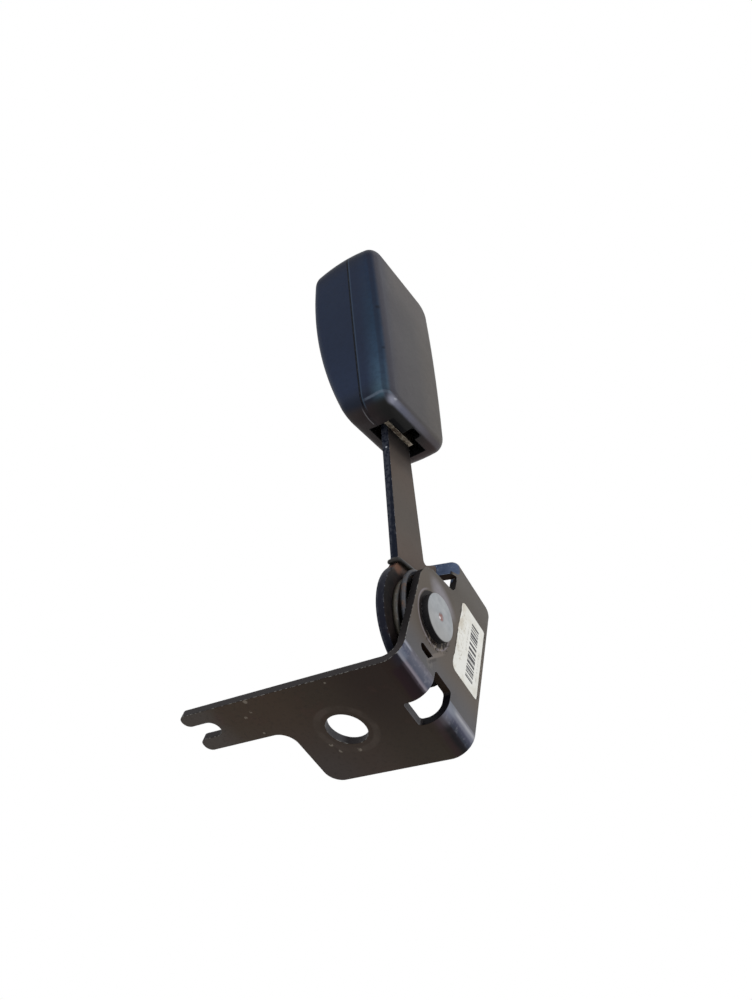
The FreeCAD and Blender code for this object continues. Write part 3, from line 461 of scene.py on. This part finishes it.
# The section's sideways direction starts from a guide that is never along the wire: Y on the coil, and the
# stalk's own length at both ends
coil_from, coil_till, coil_in, coil_out = 0.03, 0.9, 0.05, 0.03
travel = np.linspace(0, 1, len(middle))
on_coil = np.clip((travel - coil_from) / coil_in, 0, 1) * np.clip((coil_till - travel) / coil_out, 0, 1)
guide = (1 - on_coil)[:, None] * lean_w + on_coil[:, None] * np.array([0, 1, 0])
side = np.cross(tangent, guide)
side /= np.linalg.norm(side, axis=1)[:, None]
rise_way = np.cross(side, tangent)
sides, end_blunt = 20, 0.00008
round_angle = np.linspace(0, 2 * math.pi, sides, endpoint=False)[None, :, None]
# Both ends are rounded off: the section shrinks there as a ball's does
from_end = np.minimum(np.arange(len(middle)), np.arange(len(middle))[::-1]) * wire_step
into_ball = np.clip((from_end + end_blunt) / wire_radius, 0, 1)
section = wire_radius * np.sqrt(1 - (1 - into_ball) ** 2)[:, None, None]
ring = side[:, None] * np.cos(round_angle) + rise_way[:, None] * np.sin(round_angle)
return_wire = tube("return_spring_wire", middle[:, None] + section * ring)
wire_skin = Skin("oiled spring wire")
cloud = wire_skin.noise(0.004, 4.0, 0.65)
fine = wire_skin.noise(0.0006, 3.0, 0.6)
tone = wire_skin.run(wire_skin.y, (flange_front + 0.0041, "383a40"), (flange_front + 0.005, "35322b"))
tone = wire_skin.paint(tone, cloud.over(0.5, 0.68) * 0.8, "453930")
tone = wire_skin.paint(tone, cloud.over(0.58, 0.72) * fine.over(0.45, 0.6) * 0.7, "7a5136")
tone = wire_skin.paint(tone, fine.over(0.58, 0.7) * 0.4, "77797c")
# Painted shade darkens the wire near the hook
tone = wire_skin.paint(tone, wire_skin.near(stalk_at(hook_u, near_strap, 0.0185), 0.0075) * 0.85, "161415")
dress("return_spring_wire", wire_skin.finish(
    {"Base Color": tone, "Metallic": 0.35, "Roughness": 0.38 + cloud * 0.2, "Specular IOR Level": 0.4},
    bump=fine, depth=0.00001))
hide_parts("return_spring")
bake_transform(return_wire)


# Buckle strap
# A forged steel strap, blacked: an eye disc at the foot, a stop lug to its right, and a flat shank up into
# the head. Its front is brown-grey with painted shade under the head and over the disc, its left edge navy as
# painted reflection with bright chips, and rusty dust lies near the hook.
shank = Skin("blacked strap steel")
soft, edge = shank.rounding(0.0005)
front, left = shank.toward((0, -1, 0)), shank.toward(-lean_u)
reach_w = shank.along(lean_w, rivet)
cloud = shank.noise(0.009, 4.0, 0.6)
fine = shank.noise(0.0012, 3.0, 0.6)
speck = shank.noise(0.001, 2.0, 0.6, shift=(0.2, 0.4, 0.1))
# Front: brown-grey up the shank and painted shade under the head, with a soft border to the disc, painted
# dark as shadow below its lit top
face = shank.run(reach_w, (0.022, "584e48"), (0.04, "524c47"), (0.06, "524943"), (0.067, "443d39"),
                 (0.073, "292524"), (0.078, "171617"))
disc_face = shank.run(cloud, (0.4, "191819"), (0.65, "2a2423"))
disc_face = shank.paint(disc_face, (reach_w + (cloud - 0.5) * 0.008).over(0.013, 0.018), "5c504a")
disc_top = 0.0195
face = shank.blend(1 - reach_w.over(disc_top, disc_top + 0.002), face, disc_face)
tone = shank.blend(front.over(0.3, 0.9), rgb("242428"), face)
# Left side: navy as painted reflection, rubbed paler along its rear edge, with a little rust low on the
# disc's rim
rim = 1 - reach_w.over(disc_top - 0.0005, disc_top + 0.0025)
side_tone = shank.blend(rim, rgb("121723"), rgb("1a1c26"))
strap_rear = flange_front + strap_back
rubbed = shank.y.over(strap_rear - 0.001, strap_rear - 0.0004) * fine.over(0.35, 0.55)
side_tone = shank.paint(side_tone, (rubbed + fine.over(0.56, 0.66) * 0.5) * 0.7, "383b44")
tone = shank.blend(left.over(0.15, 0.6), tone, side_tone)
rim_rust = rim * left.over(0.1, 0.5) * cloud.over(0.55, 0.65) * (1 - reach_w.over(-0.012, -0.004))
tone = shank.paint(tone, rim_rust * 0.6, "3f2a24")
# Rusty dust under the hook, two bright chips on the left edge, and bare metal in short chips along the edges
hook_dust = shank.near(stalk_at(-0.0105, 0.0075, 0.0165), 0.0036) * cloud.over(0.35, 0.55)
tone = shank.paint(tone, hook_dust * 0.7, "7a5543")
chip_spots = ((stalk_at(-0.0079, 0.0096, 0.0688), 0.0006), (stalk_at(-0.0084, 0.0095, 0.0235), 0.0014))
chips = sum(shank.near(point, size) for point, size in chip_spots)
tone = shank.paint(tone, chips * speck.over(0.4, 0.5), "a9aeb6")
worn = (edge.over(0.03, 0.16) * speck.over(0.52, 0.6)).over(0.3, 0.9)
tone = shank.paint(tone, worn * 0.6, "8f9299")
tone = shank.paint(tone, fine.over(0.55, 0.7) * 0.15, "2b2826")
dress("buckle_strap", shank.finish(
    {"Base Color": tone, "Metallic": worn * 0.5, "Roughness": 0.46 + (cloud - 0.5) * 0.2,
     "Specular IOR Level": 0.04},
    bump=fine, depth=0.00002, normal=soft))


# Steel frame, its rivets and the latch works
# The frame, its rivets and the latch plate are steel with a yellowish plating, seen at the head's slot and
# mouth. The lock bar and the latch pin are bright with zinc, and the small springs are oiled wire.
back_lean, head_turn = math.radians(-2.5), math.radians(0.6)
back_bend, head_middle = (0, strap_front, 0.0216), (0, 0, 0.150)


def turn_about(point, angle, axis):
    """Turn by an angle about an axis through a point."""
    there, home = Matrix.Translation(point), Matrix.Translation(-Vector(point))
    return there @ Matrix.Rotation(angle, 4, axis) @ home


# The head sits on the stalk: a slight turn of its own, the strap's backward bend, then the stalk's lean
head = (Matrix.Translation(rivet) @ Matrix.Rotation(-lean, 4, "Y")
        @ turn_about(back_bend, back_lean, "X") @ turn_about(head_middle, head_turn, "Y"))
head_u, head_v, head_w, head_at = [column.to_3d() for column in head.col]
bare = Skin("plated frame steel")
soft, edge = bare.rounding(0.0003)
rolled = bare.noise(0.0007, 3.0, 0.6, stretch=(8, 1, 1))
stain = bare.noise(0.003, 4.0, 0.6)
tone = bare.run(rolled, (0.38, "65594c"), (0.6, "ada392"))
tone = bare.paint(tone, stain.over(0.46, 0.64) * 0.75, "4c3b2f")
tone = bare.paint(tone, edge.over(0.02, 0.2) * rolled.over(0.35, 0.6), "cfcabd")
# Painted shade: every face but those that look down the head is dark, as it lies inside the head
tone = bare.blend(bare.toward(-head_w).over(0.4, 0.8), rgb("2c2722"), tone)
bare.finish({"Base Color": tone, "Metallic": 0.55, "Roughness": 0.36 + stain * 0.2},
            bump=rolled, depth=0.00001, normal=soft)
bright = Skin("bright zinc pins")
rub = bright.noise(0.001, 3.0, 0.6)
tone = bright.run(rub, (0.4, "a5a7a8"), (0.7, "7f8080"))
bright.finish({"Base Color": tone, "Metallic": 0.9, "Roughness": 0.28 + rub * 0.2}, bump=rub, depth=0.00001)
for skin, names in ((bare, ("buckle_frame", "frame_rivets", "latch_plate")),
                    (bright, ("lock_bar", "latch_pin")),
                    (wire_skin, ("button_spring", "ejector_spring", "latch_spring"))):
    for name in names:
        dress(name, skin.material)


# Moulded covers
# Two shells of fine-grained black plastic meet at a parting line round the head, left of the middle as the
# camera sees it. The front is painted grey as sheen, and the narrow left side navy to teal as painted
# reflection.
def head_point(u, v, w):
    """Place in the part's frame of a point given in millimetres in the head's own frame."""
    return head_at + (head_u * u + head_v * v + head_w * w) / 1000


cover = Skin("black moulded covers")
soft, edge = cover.rounding(0.0003)
front, left, below = cover.toward(-head_v), cover.toward(-head_u), cover.toward(-head_w)
u, v, w = cover.along(head_u, head_at), cover.along(head_v, head_at), cover.along(head_w, head_at)
cloud = cover.noise(0.014, 3.0, 0.55)
grain = cover.noise(0.00035, 2.0, 0.6)
mottle = cover.noise(0.002, 3.0, 0.6)
# Front: painted sheen, slate at the left, brown-grey to the right and towards the top
face = cover.run(u, (-0.019, "3f3f47"), (-0.012, "474548"), (0.0, "4a4849"), (0.015, "534f4c"))
face = cover.paint(face, w.over(0.13, 0.16) * u.over(-0.016, -0.006), "534f4e")
face = cover.paint(face, mottle.over(0.42, 0.62) * 0.14, "37363a")
tone = cover.blend(front.over(0.35, 0.93), rgb("2d2d31"), face)
# Narrow left side: painted reflection, teal low on the front shell and navy above it and on the rear shell
side_rear = cover.run(w, (0.08, "1d222d"), (0.09, "202a3f"), (0.115, "1b2539"), (0.15, "182338"),
                      (0.162, "20242f"))
side_front = cover.run(w, (0.08, "3b505f"), (0.09, "32475b"), (0.103, "26394e"), (0.118, "1d2f43"),
                       (0.15, "19273d"), (0.162, "20242f"))
side_tone = cover.blend(v.over(-0.001, 0.005), side_front, side_rear)
side_tone = cover.paint(side_tone, mottle.over(0.42, 0.62) * 0.18, "141b2a")
outside = 1 - u.over(-0.0185, -0.0165)
tone = cover.blend(left.over(0.42, 0.82) * outside, tone, side_tone)
# End round the strap: near black, paler to the rear and warmer to the right
low_tone = cover.run(v, (0.001, "1f1f1f"), (0.007, "272122"), (0.016, "322d2d"))
low_tone = cover.paint(low_tone, u.over(0.0, 0.016), "352c2c")
tone = cover.blend(below.over(0.45, 0.85), tone, low_tone)
# The front's low rounding shines slate at the left corner and dies away to the right
shine = below.over(0.3, 0.66) * (1 - below.over(0.78, 0.92)) * front.over(0.2, 0.6)
shine_tone = cover.run(u, (-0.0205, "4a4d59"), (-0.0175, "858796"), (-0.015, "6c6e7c"), (-0.011, "5d5f6d"),
                       (0.0, "58575f"), (0.012, "4c484b"))
tone = cover.blend(shine, tone, shine_tone)
# A painted highlight line runs along the foot of the left side
side_foot_highlight = below.within(0.4, 0.46, 0.06) * left.over(0.3, 0.6) * (1 - v.over(0.005, 0.008)) * outside
tone = cover.paint(tone, side_foot_highlight * 0.45, "667180")
# A dark line follows the left rounding of the front, with two small dents in it
left_rounding = front.within(0.45, 0.6, 0.16) * left.over(0.5, 0.7) * outside
tone = cover.paint(tone, left_rounding * 0.45, "1c1d2a")
dent_spots = ((head_point(-22.2, -3.2, 124.1), 0.0013), (head_point(-21.6, -3.8, 102.1), 0.0011))
dents = sum(cover.near(point, size) for point, size in dent_spots)
tone = cover.paint(tone, dents * 0.6, "12131a")
# White scuff on the low corner, a flash line along the parting below, a painted highlight line on the lip
# beside the parting at the left, and dirt in the parting line itself
scuff = cover.near(head_point(-16.4, -3.0, 80.4), 0.0017) * mottle.over(0.4, 0.6)
tone = cover.paint(tone, scuff * 0.7, "b9bcc4")
flash_v, flash_u = (0.00868, 0.00892), (-0.0215, -0.0125)
lip_v, parting_v = (0.0071, 0.0074), (0.00765, 0.0082)
flash = v.within(*flash_v, 0.0001) * u.within(*flash_u, 0.0004)
tone = cover.paint(tone, flash * below.over(0.6, 0.9) * 0.7, "6d6c70")
parting_lip_highlight = v.within(*lip_v, 0.0002) * left.over(0.5, 0.8)
tone = cover.paint(tone, parting_lip_highlight * 0.22, "4f6478")
parting = v.within(*parting_v, 0.00015) * (1 - below.over(0.5, 0.8) * 0.6)
tone = cover.paint(tone, parting * 0.95, "06080f")
tone = cover.paint(tone, edge.over(0.05, 0.3) * mottle.over(0.5, 0.6) * 0.35, "6b6b70")
# The mouth of the strap slot and its pocket stay in deep shade
slot_u, slot_v, notch_u, notch_v = (-0.0107, 0.0132), (0.0013, 0.0119), (-0.0013, 0.0048), (-0.0015, 0.0013)
slot_mouth = u.within(*slot_u, 0.0003) * v.within(*slot_v, 0.0003)
slot_notch = u.within(*notch_u, 0.0003) * v.within(*notch_v, 0.0002)
shade = (slot_mouth + slot_notch).over(0.1, 0.8) * (1 - w.over(0.12, 0.13))
tone = cover.paint(tone, shade, "0f0f11")
tone = cover.paint(tone, grain.over(0.5, 0.7) * 0.12, "121215")
roughness = 0.45 + (cloud - 0.5) * 0.12 + (grain - 0.5) * 0.1
cover.finish({"Base Color": tone, "Roughness": roughness, "Specular IOR Level": 0.06},
             bump=grain + mottle * 0.5, depth=0.000018, normal=soft)
for name in ("front_cover", "rear_cover"):
    dress(name, cover.material)


# Tongue guide, press button and ejector
# They stand at the head's far end: a smooth black guide round the mouth, a red button behind it, and a pale
# slider inside. Each is moulded plastic, rubbed grey along its edges.
moulded_parts = (("tongue_guide", "1d1d1f", "29292c", 0.34),
                 ("press_button", "9c1510", "b3201a", 0.3),
                 ("ejector", "b9b4a6", "cbc7ba", 0.42))
for name, darker, paler, rough in moulded_parts:
    moulded = Skin(name.replace("_", " ") + " plastic")
    soft, edge = moulded.rounding(0.0004)
    haze = moulded.noise(0.006, 3.0, 0.55)
    grain = moulded.noise(0.0004, 2.0, 0.6)
    tone = moulded.run(haze, (0.35, darker), (0.65, paler))
    tone = moulded.paint(tone, edge.over(0.02, 0.25) * grain.over(0.45, 0.6) * 0.4, "8a8480")
    sockets = {"Base Color": tone, "Roughness": rough + (haze - 0.5) * 0.15, "Specular IOR Level": 0.4}
    dress(name, moulded.finish(sockets, bump=grain, depth=0.00001, normal=soft))


# Springs of the button and the ejector
# Each is a small coil between the frame and the slide that it pushes back, so it shortens as its slide goes
# in.
weld, seat_height = 1e-6, 0.0006
for name, slide in (("button_spring", "button"), ("ejector_spring", "ejector_slider")):
    coil_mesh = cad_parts[name].data.copy()
    merged = bmesh.new()
    merged.from_mesh(coil_mesh)
    bmesh.ops.remove_doubles(merged, verts=merged.verts, dist=weld)
    merged.to_mesh(coil_mesh)
    merged.free()
    coil_piece = bpy.data.objects.new(name + "_coil", coil_mesh)
    bpy.context.scene.collection.objects.link(coil_piece)
    dress(name + "_coil", wire_skin.material)
    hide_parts(name)
    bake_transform(coil_piece)


# Label
# A printed paper sticker on the upright flange. It carries plain bars and two thin columns of grey rules.
# The paper is off-white, stained near its left edge, where it is also torn in small bites.
label_left, label_right, label_high, crisp = 0.0036, 0.0204, 0.0513, 0.0001
paper = Skin("stained label paper")
x, z = paper.x, paper.z
stain = paper.noise(0.006, 4.0, 0.65)
fibre = paper.noise(0.0008, 3.0, 0.6)
tone = paper.run(stain, (0.4, "e2e2dd"), (0.7, "d6d4cb"))
left_stain = (1 - x.over(label_left, label_left + 0.004)) * stain.over(0.4, 0.6)
tone = paper.paint(tone, left_stain * 0.6, "b7ab98")
bar_noise = paper.node("TexNoise", {"noise_dimensions": "1D"},
                       {"W": z, "Scale": 900.0, "Detail": 1.0, "Roughness": 0.9})
bars_x, bars_z = (0.0118, 0.0168), (0.0235, 0.0475)
in_bars = x.within(*bars_x, 0.0001) * z.within(*bars_z, 0.0002)
tone = paper.paint(tone, in_bars * bar_noise.over(0.47, 0.5) * fibre.over(0.15, 0.45), "4e4e51")
smudge_x, smudge_z = (0.0050, 0.0080), (0.0270, 0.0450)
smudge = x.within(*smudge_x, 0.0006) * z.within(*smudge_z, 0.0030)
tone = paper.paint(tone, smudge * fibre.over(0.53, 0.64) * 0.5, "9c907a")
rule_noise = paper.node("TexNoise", {"noise_dimensions": "1D"}, {"W": z, "Scale": 1400.0, "Detail": 0.0})
columns = (((0.0098, 0.0104), (0.0330, 0.0440)), ((0.0184, 0.0190), (0.0260, 0.0400)))
in_rules = sum(x.within(*column_x, 0.0001) * z.within(*column_z, 0.0002) for column_x, column_z in columns)
tone = paper.paint(tone, in_rules * rule_noise.over(0.45, 0.6) * 0.45, "8d8a86")
bites = paper.noise(0.0045, 3.0, 0.6, shift=(0.5, 0, 0))
torn = x + (bites - 0.5) * 0.0022 * (1 - z.over(label_high - 0.006, label_high - 0.002))
past_left = torn.over(label_left + crisp, label_left + 2 * crisp)
past_right = x.over(label_right, label_right + crisp)
dress("barcode_label", paper.finish(
    {"Base Color": tone, "Roughness": 0.7 + (stain - 0.5) * 0.1, "Specular IOR Level": 0.15,
     "Alpha": past_left * (1 - past_right)},
    bump=fibre, depth=0.00002))


# Pale floor and studio light
# The floor shows only from above, because the camera looks up from below it. A white world and two lamps, in
# front and at the left, light the part at a plain level.
floor_half, floor_grey = 1.2, 0.85
low = cad_box[0][2] - 0.0005
floor = Skin("pale floor")
seen = floor.node("LightPath", out="Is Camera Ray") * (1 - floor.node("NewGeometry", out="Backfacing"))
pale = floor.node("BsdfDiffuse", None, {"Color": (floor_grey, floor_grey, floor_grey, 1)})
clear = floor.node("BsdfTransparent")
floor.node("OutputMaterial", None, {"Surface": floor.node("MixShader", None, {0: seen, 1: clear, 2: pale})})
ground = bpy.data.meshes.new("floor")
ground_corners = [(floor_half * i, floor_half * j, low) for i, j in ((-1, -1), (1, -1), (1, 1), (-1, 1))]
ground.from_pydata(ground_corners, [], [(0, 1, 2, 3)])
ground.materials.append(floor.material)
ground_object = bpy.data.objects.new("floor", ground)
bpy.context.scene.collection.objects.link(ground_object)
# The world is white to the camera, in reflections and through clear things, and a little dimmer as light
world_dimming = 0.2
studio = Skin("studio", bpy.data.worlds)
bpy.context.scene.world = studio.material
rays = [studio.node("LightPath", out=f"Is {kind} Ray") for kind in ("Camera", "Transmission", "Glossy")]
only_light = (1 - rays[0]) * (1 - rays[1]) * (1 - rays[2])
sky = studio.node("Background", None, {"Color": (1, 1, 1, 1), "Strength": 1 - only_light * world_dimming})
studio.node("OutputWorld", None, {"Surface": sky})


lamp_width, part_middle = 0.5, Vector((0, 0, 0.08))


def lamp(name, place, power):
    """Square lamp at a place, turned towards the middle of the part."""
    light = bpy.data.lights.new(name, "AREA")
    light.size, light.energy = lamp_width, power
    piece = bpy.data.objects.new(name, light)
    piece.location = place
    piece.rotation_euler = (part_middle - Vector(place)).to_track_quat("-Z", "Y").to_euler()
    bpy.context.scene.collection.objects.link(piece)


lamp("front lamp", (-0.25, -0.85, 0.25), 1.6)
lamp("left lamp", (-0.85, -0.1, 0.1), 1.0)
